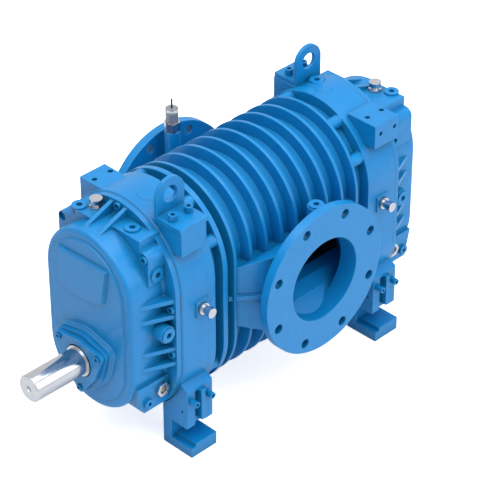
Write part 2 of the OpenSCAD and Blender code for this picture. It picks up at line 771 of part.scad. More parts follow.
// Lip seal: a channel ring whose lip runs on the shaft.
module shaft_lip_seal() color(rubber) mirror([1, 0, 0])
  translate([seal_face - seal_cover - seal_width, 0, z_low]) rotate([0, 90, 0]) rotate_extrude()
    difference() {
      translate([seat_r + running, 0]) square([seal_r - seat_r - running, seal_width]);
      translate([seat_r + 2.5, -1]) square([4, seal_width - 2]);
    }

module filler() {
  translate([0, 0, -18]) cylinder(r = 9, h = 19);
  cylinder(r = 15, h = 5, $fn = 6);
  translate([0, 0, 4]) cylinder(r = 8, h = 9);
  translate([0, 0, 12]) cylinder(r = 13.5, h = 10);
}

module oil_fillers() color(steel) {
  mirror([1, 0, 0]) place_top(drive_filler) filler();
  place_top(rear_filler) filler();
}

module place_sight() both_ends() translate([cover_x + sight_at[0], -sump_y, sight_at[1]])
  rotate([90, 0, 0]) children();

module sight_glass_rings() color(steel) place_sight() difference() {
  union() {
    translate([0, 0, -16]) cylinder(r = 10, h = 17);
    cylinder(r = 17, h = 9, $fn = 6);
  }
  translate([0, 0, 3]) cylinder(r = 9 + seat, h = 10);
  translate([0, 0, -17]) cylinder(r = 6, h = 30);
}

module sight_glass_lenses() color(glass) place_sight() translate([0, 0, 3]) cylinder(r = 9, h = 4);

module oil_drain_plugs() color(enamel) both_ends()
  translate([cover_x + drain_at[0], -sump_y, drain_at[1]]) rotate([90, 0, 0]) difference() {
    union() {
      translate([0, 0, -16]) cylinder(r = 8, h = 17);
      cylinder(r = 11, h = 7);
    }
    translate([0, 0, 1]) cylinder(r = 5, h = 10, $fn = 6);
  }

module cover_plugs() color(enamel) {
  mirror([1, 0, 0]) {
    place_top(drive_top_plug) screw_plug();
    place_top(drive_far_plug) screw_plug();
  }
  place_top(rear_top_plug) screw_plug();
  place_top(rear_far_plug) screw_plug();
  both_ends() place_flank_plugs() screw_plug();
}

module place_side_plugs() for (x = [drive_side_plug_x, rear_side_plug_x], side = [-1, 1])
  translate([x, side * (plate_r + side_boss), side_plug_z]) rotate([-90 * side, 0, 0]) children();

module side_plugs() color(steel) place_side_plugs() {
  translate([0, 0, -16]) cylinder(r = 8, h = 18);
  translate([0, 0, 2]) cylinder(r = 13, h = 4);
  translate([0, 0, 5]) cylinder(r = 9, h = 14);
  translate([0, 0, 18]) cylinder(r = 11, h = 10);
}

module side_plug_washers() color(copper) place_side_plugs() difference() {
  cylinder(r = 12, h = 2);
  translate([0, 0, -1]) cylinder(r = 8 + seat, h = 4);
}

module plate_top_plug() color(enamel) translate([top_plug_x, top_plug_y, top_plug_z]) screw_plug();

module casing_plug() color(enamel)
  translate([flange_offset + neck_boss_x, -neck_boss_y, plug_boss_top]) screw_plug();

// Small sensor on the far neck: threaded nut, clear body and contact pin.
module sensor_at(z) translate([flange_offset - sensor_boss_x, neck_boss_y, sensor_boss_top + z]) children();

module sensor_nut() color(steel) sensor_at(0) {
  translate([0, 0, -18]) cylinder(r = 8, h = 19);
  cylinder(r = 18, h = 22, $fn = 6);
}

module sensor_body() color(glass) sensor_at(22) difference() {
  cylinder(r = 14, h = 32);
  translate([0, 0, 26]) cylinder(r = 2 + seat, h = 7);
}

module sensor_pin() color(dark_steel) sensor_at(48) cylinder(r = 2, h = 28);

// Ball bearings with ground tracks for the balls.
ball_r = (bearing_r - seat_r) * 0.3;
ball_ring_r = (bearing_r + seat_r) / 2;
race = (bearing_r - seat_r) * 0.3;
module bearing_places(heights) for (z = heights) both_ends()
  translate([bearing_in, 0, z]) rotate([0, 90, 0]) children();

module track() translate([ball_ring_r, bearing_width / 2]) circle(r = ball_r + running);

module outer_ring() rotate_extrude() difference() {
  translate([bearing_r - race, 0]) square([race, bearing_width]);
  track();
}

module inner_ring() rotate_extrude() difference() {
  translate([seat_r + seat, 0]) square([race - seat, bearing_width]);
  track();
}

module balls() for (i = [0:ball_count - 1]) rotate(i * 360 / ball_count)
  translate([ball_ring_r, 0, bearing_width / 2]) sphere(r = ball_r);

module cage() difference() {
  translate([0, 0, bearing_width / 2 - ball_r - 2.5]) difference() {
    cylinder(r = ball_ring_r + 4, h = 2 * ball_r + 5);
    translate([0, 0, -1]) cylinder(r = ball_ring_r - 4, h = 2 * ball_r + 7);
  }
  for (i = [0:ball_count - 1]) rotate(i * 360 / ball_count)
    translate([ball_ring_r - 8, 0, bearing_width / 2]) rotate([0, 90, 0]) cylinder(r = ball_r + 0.15, h = 16);
}

module bearing_outer_rings() color(steel) bearing_places(axes_z) outer_ring();

module drive_shaft_inner_rings() color(steel) bearing_places([z_low]) inner_ring();

module driven_shaft_inner_rings() color(steel) bearing_places([z_high]) inner_ring();

module drive_shaft_balls() color(steel) bearing_places([z_low]) balls();

module driven_shaft_balls() color(steel) bearing_places([z_high]) balls();

module drive_shaft_cages() color(brass) bearing_places([z_low]) cage();

module driven_shaft_cages() color(brass) bearing_places([z_high]) cage();

module bearing_retainer() color(iron) along_x(plate_x, retainer_thick) difference() {
  union() {
    for (z = axes_z) translate([0, z]) circle(r = retainer_r);
    translate([-retainer_r, z_low]) square([2 * retainer_r, shaft_gap]);
  }
  for (z = axes_z) translate([0, z]) circle(r = bearing_r - 9);
  for (p = retainer_places) translate(p) circle(r = 4.5);
}

module drive_bearing_retainer() mirror([1, 0, 0]) bearing_retainer();

module rear_bearing_retainer() bearing_retainer();

module retainer_screws() color(dark_steel) both_ends() for (p = retainer_places)
  translate([plate_x + retainer_thick, p[0], p[1]]) rotate([0, 90, 0])
    socket_screw(small_screw_r, retainer_thick + 16, small_head_r, small_head);

// Labyrinth rings: the grooves inside break down the leak along the shaft.
module labyrinth_rings() color(brass) for (z = axes_z) both_ends() translate([casing_x, 0, z])
  rotate([0, 90, 0]) rotate_extrude() difference() {
    translate([core_r + running, 0]) square([labyrinth_r - core_r - running, labyrinth_length]);
    for (i = [0:3]) translate([core_r - 1, 4 + i * 5.5]) square([4, 2.5]);
  }

// Shafts as turned outlines of [x, radius] points.
module turned(points, z) translate([0, 0, z]) rotate([0, 90, 0]) rotate_extrude()
  polygon(concat([[0, points[0][0]]], [for (p = points) [p[1], p[0]]], [[0, points[len(points) - 1][0]]]));

rear_steps = [
  [bearing_in, core_r], [bearing_in, seat_r], [sleeve_end, seat_r], [sleeve_end, gear_seat_r],
  [gear_end + 2, gear_seat_r], [gear_end + 2, thread_r], [gear_nut_end + 2, thread_r],
  [gear_nut_end + 4, thread_r - 2]
];

module drive_shaft() color(steel) difference() {
  turned(concat([
    [-shaft_tip, shaft_r_end - 2], [2 - shaft_tip, shaft_r_end], [-seal_face - 2, shaft_r_end],
    [-seal_face - 2, seat_r], [-bearing_in, seat_r], [-bearing_in, core_r]
  ], rear_steps), z_low);
  translate([-shaft_tip - 1, 0, z_low]) rotate([0, 90, 0]) cylinder(r1 = 7, r2 = 4, h = 8);
  rod_x(-shaft_tip, 0, z_low, 4, 24);
  translate([-shaft_tip + key_in, 0, z_low - shaft_r_end - 1]) linear_extrude(8) {
    translate([9, 0]) circle(r = 9);
    translate([key_length - 9, 0]) circle(r = 9);
    translate([9, -9]) square([key_length - 18, 18]);
  }
}

module driven_shaft() color(steel) turned(concat([
  [-plate_x - nut_width - 4, seat_r - 2], [-plate_x - nut_width - 2, seat_r], [-bearing_in, seat_r],
  [-bearing_in, core_r]
], rear_steps), z_high);

// Rotor valleys: the track that the other rotor's lobe circle rolls out, from pitch circle to pitch circle.
function turn(p, a) = [p[0] * cos(a) - p[1] * sin(a), p[0] * sin(a) + p[1] * cos(a)];
function valley_point(t) = let(
  c = [2 * pitch_r - lobe_centre * cos(t), lobe_centre * sin(t)],
  to_pitch = [pitch_r, 0] - c,
  q = c + to_pitch * (lobe_r + flank_play) / norm(to_pitch)
) turn(q, -t);
// Points crowd towards the valley floor, where the contact runs fastest.
valley_steps = 14;
function valley_angle(i) = half_lobe * sign(i) * pow(abs(i) / valley_steps, 2);
rotor_core = [for (k = [0:lobes - 1], i = [valley_steps:-1:-valley_steps])
  turn(valley_point(valley_angle(i)), 90 + 2 * half_lobe + k * 360 / lobes)];

// A lobe keeps only the stretch of its circle that lies outside the valleys.
lobe_foot = turn(valley_point(half_lobe), 2 * half_lobe);
module lobe() intersection() {
  translate([lobe_centre, 0]) circle(r = lobe_r - flank_play);
  polygon([[0, 0], 2 * [lobe_foot[0], -lobe_foot[1]], 2 * lobe_foot]);
}

module rotor(z) color(iron) along_x(-rotor_length / 2, rotor_length) translate([0, z]) difference() {
  union() {
    polygon(rotor_core);
    for (k = [0:lobes - 1]) rotate(90 + k * 360 / lobes) lobe();
  }
  circle(r = core_r + seat);
}

module drive_rotor() rotor(z_low);

module driven_rotor() rotor(z_high);

// Involute timing gear.
teeth = round(shaft_gap / gear_module);
pressure = 20;
base_r = pitch_r * cos(pressure);
gear_tip = pitch_r + gear_module;
gear_root = pitch_r - 1.25 * gear_module;
backlash = 0.3;
function involute(r) = let(w = acos(base_r / r)) tan(w) * 180 / PI - w;
tooth_half = 90 / teeth - backlash / 2 / pitch_r * 180 / PI + involute(pitch_r);
flank_r = [for (i = [0:5]) base_r + 0.01 + (gear_tip - base_r - 0.01) * i / 5];
tooth = concat(
  [turn([gear_root, 0], -tooth_half - 0.2)],
  [for (r = flank_r) turn([r, 0], involute(r) - tooth_half)],
  [for (i = [5:-1:0]) turn([flank_r[i], 0], tooth_half - involute(flank_r[i]))],
  [turn([gear_root, 0], tooth_half + 0.2)]
);

module gear(z, first) color(dark_steel) difference() {
  along_x(sleeve_end, gear_width) translate([0, z])
    polygon([for (k = [0:teeth - 1], p = tooth) turn(p, first + k * 360 / teeth)]);
  rod_x(sleeve_end - 1, 0, z, gear_seat_r + seat, gear_width + 2);
  for (i = [0:5]) rod_x(sleeve_end - 1, 58 * cos(i * 60), z + 58 * sin(i * 60), 11, gear_width + 2);
}

module drive_gear() gear(z_low, 90);

module driven_gear() gear(z_high, 270 + 180 / teeth);

module sleeve(z) color(steel) difference() {
  rod_x(plate_x, 0, z, seat_r + 10, sleeve_end - plate_x);
  rod_x(plate_x - 1, 0, z, seat_r + seat, sleeve_end - plate_x + 2);
}

module drive_shaft_sleeve() sleeve(z_low);

module driven_shaft_sleeve() sleeve(z_high);

// Slotted ring nut on a shaft, drawn from x towards +X.
module ring_nut(x, z, bore, r) difference() {
  rod_x(x, 0, z, r, nut_width);
  rod_x(x - 1, 0, z, bore + seat, nut_width + 2);
  for (i = [0:3]) translate([x + nut_width / 2, 0, z]) rotate([i * 90 + 45, 0, 0])
    translate([-nut_width, -4, r - 3]) cube([2 * nut_width, 8, 6]);
}

module shaft_nuts(z) color(dark_steel) {
  ring_nut(-plate_x - nut_width, z, seat_r, seat_r + 12);
  ring_nut(gear_end + 2, z, thread_r, thread_r + 14);
  difference() {
    rod_x(gear_end, 0, z, thread_r + 12, 2);
    rod_x(gear_end - 1, 0, z, gear_seat_r + seat, 4);
  }
}

module drive_shaft_nuts() shaft_nuts(z_low);

module driven_shaft_nuts() shaft_nuts(z_high);

// Disc that throws oil from the sump onto the bearings.
module oil_slinger() color(steel) mirror([1, 0, 0]) difference() {
  union() {
    rod_x(plate_x + nut_width, 0, z_low, seat_r + 9, 14);
    rod_x(plate_x + nut_width + 5, 0, z_low, cover_radius - cover_wall - 8, 4);
  }
  rod_x(plate_x + nut_width - 1, 0, z_low, seat_r + seat, 16);
}

rotor_casing();
drive_end_plate();
rear_end_plate();
drive_end_cover();
rear_end_cover();
drive_cover_gasket();
rear_cover_gasket();
foot_drive_near();
foot_drive_far();
foot_rear_near();
foot_rear_far();
foot_screws();
lifting_eye_drive();
lifting_eye_rear();
lifting_eye_screws();
drive_plate_screws();
rear_plate_screws();
drive_cover_screws();
rear_cover_screws();
shaft_seal_cover();
seal_cover_screws();
shaft_lip_seal();
oil_fillers();
sight_glass_rings();
sight_glass_lenses();
oil_drain_plugs();
cover_plugs();
side_plugs();
side_plug_washers();
casing_plug();
plate_top_plug();
sensor_nut();
sensor_body();
sensor_pin();
bearing_outer_rings();
drive_bearing_retainer();
rear_bearing_retainer();
retainer_screws();
labyrinth_rings();
drive_shaft();
drive_rotor();
drive_gear();
drive_shaft_inner_rings();
drive_shaft_sleeve();
drive_shaft_nuts();
oil_slinger();
driven_shaft();
driven_rotor();
driven_gear();
driven_shaft_inner_rings();
driven_shaft_sleeve();
driven_shaft_nuts();
drive_shaft_balls();
drive_shaft_cages();
driven_shaft_balls();
driven_shaft_cages();
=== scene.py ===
import bpy
import bmesh
import math
from mathutils import Matrix, Vector


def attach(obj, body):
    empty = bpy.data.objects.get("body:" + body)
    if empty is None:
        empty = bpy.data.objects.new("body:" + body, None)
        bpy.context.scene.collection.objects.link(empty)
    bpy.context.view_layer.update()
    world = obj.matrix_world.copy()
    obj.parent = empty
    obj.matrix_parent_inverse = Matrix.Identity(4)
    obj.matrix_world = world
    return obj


# Rotary lobe blower in satin blue enamel, standing on a white studio floor.
# Everything is in metres, in the part's own frame: X along the shafts, Z up.
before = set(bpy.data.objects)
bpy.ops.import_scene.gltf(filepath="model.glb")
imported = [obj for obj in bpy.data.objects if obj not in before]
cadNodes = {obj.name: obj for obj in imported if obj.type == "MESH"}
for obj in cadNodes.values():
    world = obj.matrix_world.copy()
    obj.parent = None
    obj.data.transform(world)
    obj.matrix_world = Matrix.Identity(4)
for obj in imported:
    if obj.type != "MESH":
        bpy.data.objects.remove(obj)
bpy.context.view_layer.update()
print("frame loaded:", len(cadNodes), "nodes")


def linearColour(text):
    values = [int(text[i:i + 2], 16) / 255 for i in (1, 3, 5)]
    return (*[v / 12.92 if v <= 0.04045 else ((v + 0.055) / 1.055) ** 2.4 for v in values], 1.0)


def addNode(tree, kind, settings=None, links=None):
    # settings go to an input of that name or number, else to the node itself
    node = tree.nodes.new(kind)
    for name, value in (settings or {}).items():
        if isinstance(name, int) or (name in node.inputs and not hasattr(type(node), name)):
            node.inputs[name].default_value = value
        else:
            setattr(node, name, value)
    for name, socket in (links or {}).items():
        tree.links.new(socket, node.inputs[name])
    return node


def newMaterial(name):
    material = bpy.data.materials.new(name)
    material.use_nodes = True
    tree = material.node_tree
    tree.nodes.clear()
    place = addNode(tree, "ShaderNodeTexCoord").outputs["Object"]
    return material, tree, place


def closeMaterial(tree, shader):
    addNode(tree, "ShaderNodeOutputMaterial", links={"Surface": shader.outputs[0]})


def grainPerMetre(size):
    # a noise texture shows about one grain for each 1 / scale
    return 1000.0 / size


enamelLook = {
    "colour": "#067FC4",
    "paintedShadeColour": "#056F9F",   # painted shade: a darker blue mixed in where nearby walls occlude the hollows of the casting
    "waveColour": "#0B89D0",   # where the sprayed coat lies a little thinner
    "waveShare": 0.35,
    "edgeHighlightColour": "#3A9EE0",   # painted highlight: a lighter blue laid along the cast edges
    "edgeHighlightShare": 0.55,
    "roughness": 0.40,
    "roughnessSpread": 0.02,
    "hollowReach": 30.0,       # mm, how far a neighbouring wall reaches for the painted shade in the hollows
    "sandGrain": 4.5,          # mm, the moulding sand that shows through the paint
    "sandDepth": 0.05,         # mm
    "paintWave": 22.0,         # mm, slow unevenness of a sprayed coat
}
# the same enamel on three grounds: edge radius in mm, and the share of the sand's relief
paintGrounds = {
    "casting": {"name": "satinEnamelOnCasting", "edge": 3.0, "sand": 1.0},
    "plate": {"name": "satinEnamelOnMachinedIron", "edge": 1.6, "sand": 0.4},
    "fitting": {"name": "satinEnamelOnFasteners", "edge": 0.7, "sand": 0.3},
}


def castEnamel(look, ground):
    # satin enamel sprayed on sand-cast iron: soft sheen, rounded edges, a faint orange peel, with
    # painted shade in the hollows and a painted highlight along the edges
    material, tree, place = newMaterial(ground["name"])
    wave = addNode(tree, "ShaderNodeTexNoise",
                   {"Scale": grainPerMetre(look["paintWave"]), "Detail": 1.0, "Roughness": 0.4},
                   {"Vector": place})
    grain = addNode(tree, "ShaderNodeTexNoise",
                    {"Scale": grainPerMetre(look["sandGrain"]), "Detail": 2.0, "Roughness": 0.6},
                    {"Vector": place})
    # painted shade: the occlusion of nearby walls darkens the paint towards the shade colour in
    # hollows and crevices
    hollow = addNode(tree, "ShaderNodeAmbientOcclusion",
                     {"Distance": look["hollowReach"] / 1000, "samples": 8})
    tone = addNode(tree, "ShaderNodeMapRange",
                   {"From Min": 0.35, "From Max": 0.65, "To Min": 0.0, "To Max": look["waveShare"]},
                   {"Value": wave.outputs["Fac"]})
    paint = addNode(tree, "ShaderNodeMix",
                    {"data_type": "RGBA", 6: linearColour(look["colour"]),
                     7: linearColour(look["waveColour"])},
                    {0: tone.outputs["Result"]})
    depth = addNode(tree, "ShaderNodeMapRange",
                    {"From Min": 0.35, "From Max": 1.0, "To Min": 1.0, "To Max": 0.0},
                    {"Value": hollow.outputs["AO"]})
    colour = addNode(tree, "ShaderNodeMix",
                     {"data_type": "RGBA", 7: linearColour(look["paintedShadeColour"])},
                     {0: depth.outputs["Result"], 6: paint.outputs[2]})
    sheen = addNode(tree, "ShaderNodeMapRange",
                    {"From Min": 0.2, "From Max": 0.8,
                     "To Min": look["roughness"] - look["roughnessSpread"],
                     "To Max": look["roughness"] + look["roughnessSpread"]},
                    {"Value": wave.outputs["Fac"]})
    rounded = addNode(tree, "ShaderNodeBevel", {"samples": 8, "Radius": ground["edge"] / 1000})
    # painted highlight: where the rounded normal turns away from the face normal, the colour is
    # lightened towards the edge highlight colour
    facing = addNode(tree, "ShaderNodeNewGeometry")
    bend = addNode(tree, "ShaderNodeVectorMath", {"operation": "DOT_PRODUCT"},
                   {0: rounded.outputs["Normal"], 1: facing.outputs["Normal"]})
    paintedEdgeHighlight = addNode(tree, "ShaderNodeMapRange",
                   {"From Min": 0.99, "From Max": 0.78, "To Min": 0.0, "To Max": look["edgeHighlightShare"]},
                   {"Value": bend.outputs["Value"]})
    finished = addNode(tree, "ShaderNodeMix",
                       {"data_type": "RGBA", 7: linearColour(look["edgeHighlightColour"])},
                       {0: paintedEdgeHighlight.outputs["Result"], 6: colour.outputs[2]})
    peel = addNode(tree, "ShaderNodeBump",
                   {"Strength": 0.25, "Distance": look["sandDepth"] * ground["sand"] / 1000},
                   {"Height": grain.outputs["Fac"], "Normal": rounded.outputs["Normal"]})
    shader = addNode(tree, "ShaderNodeBsdfPrincipled",
                     {"IOR": 1.38, "Coat Weight": 0.15, "Coat Roughness": 0.12},
                     {"Base Color": finished.outputs[2], "Roughness": sheen.outputs["Result"],
                      "Normal": peel.outputs["Normal"]})
    closeMaterial(tree, shader)
    return material


metalPatch = 18.0   # mm, size of the faint patches in bare metal


def turnedMetal(name, look):
    # machined metal: the lines of the tool, drawn out along one axis by the stretch
    material, tree, place = newMaterial(name)
    stretch = addNode(tree, "ShaderNodeMapping", {"Scale": look["stretch"]}, {"Vector": place})
    lines = addNode(tree, "ShaderNodeTexNoise",
                    {"Scale": grainPerMetre(look["lineWidth"]), "Detail": 2.0, "Roughness": 0.5},
                    {"Vector": stretch.outputs["Vector"]})
    patches = addNode(tree, "ShaderNodeTexNoise",
                      {"Scale": grainPerMetre(metalPatch), "Detail": 3.0}, {"Vector": place})
    colour = addNode(tree, "ShaderNodeMix",
                     {"data_type": "RGBA", 6: linearColour(look["colour"]),
                      7: linearColour(look["shade"])},
                     {0: patches.outputs["Fac"]})
    rough = addNode(tree, "ShaderNodeMapRange",
                    {"From Min": 0.3, "From Max": 0.7, "To Min": look["roughness"] * 0.8,
                     "To Max": look["roughness"] * 1.25},
                    {"Value": lines.outputs["Fac"]})
    rounded = addNode(tree, "ShaderNodeBevel", {"samples": 6, "Radius": look["edge"] / 1000})
    groove = addNode(tree, "ShaderNodeBump",
                     {"Strength": 0.25, "Distance": look["lineDepth"] / 1000},
                     {"Height": lines.outputs["Fac"], "Normal": rounded.outputs["Normal"]})
    shader = addNode(tree, "ShaderNodeBsdfPrincipled", {"Metallic": look["metallic"]},
                     {"Base Color": colour.outputs[2], "Roughness": rough.outputs["Result"],
                      "Normal": groove.outputs["Normal"]})
    closeMaterial(tree, shader)
    return material


# line width and depth and the edge radius are in mm
metalLooks = {
    # bright turned and polished carbon steel
    "turnedSteel": {"colour": "#C3C6CB", "shade": "#AFB3BA", "roughness": 0.14, "metallic": 1.0,
                    "stretch": (1.0, 0.02, 0.02), "lineWidth": 0.6, "lineDepth": 0.02, "edge": 0.8},
    # bright zinc plate on small fittings
    "platedSteel": {"colour": "#C9CBD0", "shade": "#B2B5BC", "roughness": 0.20, "metallic": 1.0,
                    "stretch": (1.0, 1.0, 1.0), "lineWidth": 0.8, "lineDepth": 0.01, "edge": 0.5},
    # heat-treated alloy steel with a black oxide skin
    "blackSteel": {"colour": "#55585E", "shade": "#44464B", "roughness": 0.38, "metallic": 1.0,
                   "stretch": (1.0, 1.0, 1.0), "lineWidth": 0.7, "lineDepth": 0.02, "edge": 0.5},
    # hardened and ground gear steel
    "groundGear": {"colour": "#8B8F97", "shade": "#74787F", "roughness": 0.28, "metallic": 1.0,
                   "stretch": (0.05, 1.0, 1.0), "lineWidth": 0.6, "lineDepth": 0.02, "edge": 0.4},
    # milled grey iron, dull and slightly mottled
    "milledIron": {"colour": "#8D8E90", "shade": "#7B7C7F", "roughness": 0.42, "metallic": 0.9,
                   "stretch": (1.0, 0.08, 0.08), "lineWidth": 0.9, "lineDepth": 0.04, "edge": 0.6},
    # ground and lapped bearing steel
    "bearingSteel": {"colour": "#DADCE0", "shade": "#CFD2D7", "roughness": 0.10,
                     "metallic": 1.0, "stretch": (1.0, 0.03, 0.03), "lineWidth": 0.5,
                     "lineDepth": 0.005, "edge": 0.6},
    # machined bronze
    "machinedBronze": {"colour": "#C9A25A", "shade": "#B98F48", "roughness": 0.26,
                       "metallic": 1.0, "stretch": (1.0, 0.05, 0.05), "lineWidth": 0.6,
                       "lineDepth": 0.02, "edge": 0.4},
    # soft annealed copper washer
    "annealedCopper": {"colour": "#C87E5A", "shade": "#B46A48", "roughness": 0.34,
                       "metallic": 1.0, "stretch": (1.0, 1.0, 1.0), "lineWidth": 0.8,
                       "lineDepth": 0.02, "edge": 0.3},
}


skinDepth = 0.05   # mm, relief on rubber, sheet and clear parts


def softPlastic(name, look):
    # rubber, nylon and jointing sheet: matt, with a fine fibre or flow pattern
    material, tree, place = newMaterial(name)
    fibre = addNode(tree, "ShaderNodeTexNoise",
                    {"Scale": grainPerMetre(look["grain"]), "Detail": 4.0}, {"Vector": place})
    colour = addNode(tree, "ShaderNodeMix",
                     {"data_type": "RGBA", 6: linearColour(look["colour"]),
                      7: linearColour(look["shade"])},
                     {0: fibre.outputs["Fac"]})
    skin = addNode(tree, "ShaderNodeBump", {"Strength": 0.3, "Distance": skinDepth / 1000},
                   {"Height": fibre.outputs["Fac"]})
    shader = addNode(tree, "ShaderNodeBsdfPrincipled", {"Roughness": look["roughness"]},
                     {"Base Color": colour.outputs[2], "Normal": skin.outputs["Normal"]})
    closeMaterial(tree, shader)
    return material


# the grain is in mm
softLooks = {
    # moulded nitrile rubber, filled with carbon black
    "nitrileRubber": {"colour": "#17181A", "shade": "#232427", "grain": 1.2, "roughness": 0.55},
    # glass-filled nylon, dyed through
    "blueInsert": {"colour": "#0E3A68", "shade": "#124577", "grain": 1.0, "roughness": 0.4},
    # fibre jointing sheet, oil-soaked at its edge
    "jointingSheet": {"colour": "#4B453B", "shade": "#3A352D", "grain": 0.9, "roughness": 0.8},
}


def clearLens(name, look):
    # pressed glass and clear polycarbonate: smooth, with a faint swirl
    material, tree, place = newMaterial(name)
    swirl = addNode(tree, "ShaderNodeTexNoise",
                    {"Scale": grainPerMetre(look["swirl"]), "Detail": 1.0}, {"Vector": place})
    ripple = addNode(tree, "ShaderNodeBump", {"Strength": 0.1, "Distance": skinDepth / 1000},
                     {"Height": swirl.outputs["Fac"]})
    shader = addNode(tree, "ShaderNodeBsdfPrincipled",
                     {"Base Color": linearColour(look["colour"]), "Roughness": look["roughness"],
                      "IOR": look["ior"], "Transmission Weight": look["clear"]},
                     {"Normal": ripple.outputs["Normal"]})
    closeMaterial(tree, shader)
    return material


# the swirl is in mm
clearLooks = {
    # soda-lime glass, pressed and fire-polished
    "pressedGlass": {"colour": "#E9F0EA", "roughness": 0.03, "ior": 1.5, "clear": 0.9,
                     "swirl": 6.0},
    # moulded polycarbonate
    "clearPolycarbonate": {"colour": "#E6EAEE", "roughness": 0.08, "ior": 1.58, "clear": 0.75,
                           "swirl": 6.0},
}

paint = {name: castEnamel(enamelLook, ground) for name, ground in paintGrounds.items()}
metal = {name: turnedMetal(name, look) for name, look in metalLooks.items()}
soft = {name: softPlastic(name, look) for name, look in softLooks.items()}
glass = {name: clearLens(name, look) for name, look in clearLooks.items()}
print("materials made:", len(bpy.data.materials))

finishes = {
    "rotor_casing": paint["casting"],
    "drive_end_plate": paint["casting"], "rear_end_plate": paint["casting"],
    "drive_end_cover": paint["casting"], "rear_end_cover": paint["casting"],
    "shaft_seal_cover": paint["plate"],
    "foot_drive_near": paint["plate"], "foot_drive_far": paint["plate"],
    "foot_rear_near": paint["plate"], "foot_rear_far": paint["plate"],
    "lifting_eye_drive": paint["plate"], "lifting_eye_rear": paint["plate"],
    "foot_screws": paint["fitting"], "lifting_eye_screws": paint["fitting"],
    "drive_cover_screws": paint["fitting"], "rear_cover_screws": paint["fitting"],
    "seal_cover_screws": paint["fitting"], "oil_drain_plugs": paint["fitting"],
    "cover_plugs": paint["fitting"], "casing_plug": paint["fitting"],
    "plate_top_plug": paint["fitting"],
    "drive_plate_screws": metal["blackSteel"], "rear_plate_screws": metal["blackSteel"],
    "retainer_screws": metal["blackSteel"], "sensor_pin": metal["blackSteel"],
    "drive_shaft_nuts": metal["blackSteel"], "driven_shaft_nuts": metal["blackSteel"],
    "drive_gear": metal["groundGear"], "driven_gear": metal["groundGear"],
    "drive_bearing_retainer": metal["milledIron"],
    "rear_bearing_retainer": metal["milledIron"],
    "drive_rotor": metal["milledIron"], "driven_rotor": metal["milledIron"],
    "bearing_outer_rings": metal["bearingSteel"],
    "drive_shaft_inner_rings": metal["bearingSteel"],
    "driven_shaft_inner_rings": metal["bearingSteel"],
    "drive_shaft_balls": metal["bearingSteel"], "driven_shaft_balls": metal["bearingSteel"],
    "labyrinth_rings": metal["machinedBronze"],
    "drive_shaft_cages": metal["machinedBronze"],
    "driven_shaft_cages": metal["machinedBronze"],
    "drive_shaft": metal["turnedSteel"], "driven_shaft": metal["turnedSteel"],
    "drive_shaft_sleeve": metal["turnedSteel"], "driven_shaft_sleeve": metal["turnedSteel"],
    "oil_slinger": metal["platedSteel"], "oil_fillers": metal["platedSteel"],
    "side_plugs": metal["platedSteel"], "sensor_nut": metal["platedSteel"],
    "sight_glass_rings": metal["platedSteel"], "side_plug_washers": metal["annealedCopper"],
    "shaft_lip_seal": soft["nitrileRubber"],
    "drive_cover_gasket": soft["jointingSheet"], "rear_cover_gasket": soft["jointingSheet"],
    "sight_glass_lenses": glass["pressedGlass"], "sensor_body": glass["clearPolycarbonate"],
}
for name, node in cadNodes.items():
    for slot in node.material_slots:
        slot.material = finishes[name]
print("finishes given:", len(finishes))


def newPiece(name, shape, material, smooth):
    # an object from a finished shape, riding the body that stands still
    bmesh.ops.recalc_face_normals(shape, faces=shape.faces)
    mesh = bpy.data.meshes.new(name)
    shape.to_mesh(mesh)
    shape.free()
    mesh.materials.append(material)
    for face in mesh.polygons:
        face.use_smooth = smooth
    piece = bpy.data.objects.new(name, mesh)
    bpy.context.scene.collection.objects.link(piece)
    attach(piece, "base")
    return piece


def metres(*point):
    return Vector(point) / 1000


def ringFaces(shape, rings):
    # joins closed rings of points into one closed band
    for i, ring in enumerate(rings):
        after = rings[(i + 1) % len(rings)]
        for j in range(len(ring)):
            k = (j + 1) % len(ring)
            shape.faces.new((ring[j], ring[k], after[k], after[j]))


sealBoss = {
    "front": -425.0,         # mm, x of the cover's flat front
    "axisHeight": 230.0,     # mm, z of the drive shaft
    "hub": 62.0, "ear": 15.0, "earReach": 67.0, "earAngles": (30, 150, 270),
    "fillet": 9.0,           # mm, radius of the cast fillet at its foot
    "root": 0.5,             # mm, how deep it reaches into boss and cover
    "steps": 144, "filletSteps": 8,
}


def bossFillet(look):
    # cast fillet that blends the eared seal boss into the cover's front
    shape = bmesh.new()
    profile = [(-look["root"], -look["root"])]
    for j in range(look["filletSteps"] + 1):
        turn = math.pi / 2 * j / look["filletSteps"]
        profile.append((look["fillet"] * (1 - math.sin(turn)),
                        look["fillet"] * (1 - math.cos(turn))))
    rings = []
    for i in range(look["steps"]):
        angle = 2 * math.pi * i / look["steps"]
        across, up = math.cos(angle), math.sin(angle)
        reach, middle = look["hub"], (0.0, 0.0)
        for ear in look["earAngles"]:
            y, z = (look["earReach"] * f(math.radians(ear)) for f in (math.cos, math.sin))
            if y * across + z * up + look["ear"] > middle[0] * across + middle[1] * up + reach:
                reach, middle = look["ear"], (y, z)
        rings.append([shape.verts.new(metres(look["front"] - rise,
                                             middle[0] + (reach + out) * across,
                                             look["axisHeight"] + middle[1] + (reach + out) * up))
                      for out, rise in profile])
    ringFaces(shape, rings)
    return newPiece("sealBossFillet", shape, paint["casting"], True)


shieldRelief = {
    "back": -424.5, "crest": -432.5,    # mm, x of its foot in the cover and of its face
    "slope": 4.5,                       # mm, how far its corners lean in
    "top": ((77.0, 466.0), (-70.0, 471.0)),    # mm, y and z of its upper corners
    "arcMiddle": (10.0, 499.0), "arcRadius": 130.0,
    "arcEnds": (-57.0, 78.0), "arcSteps": 24,
}


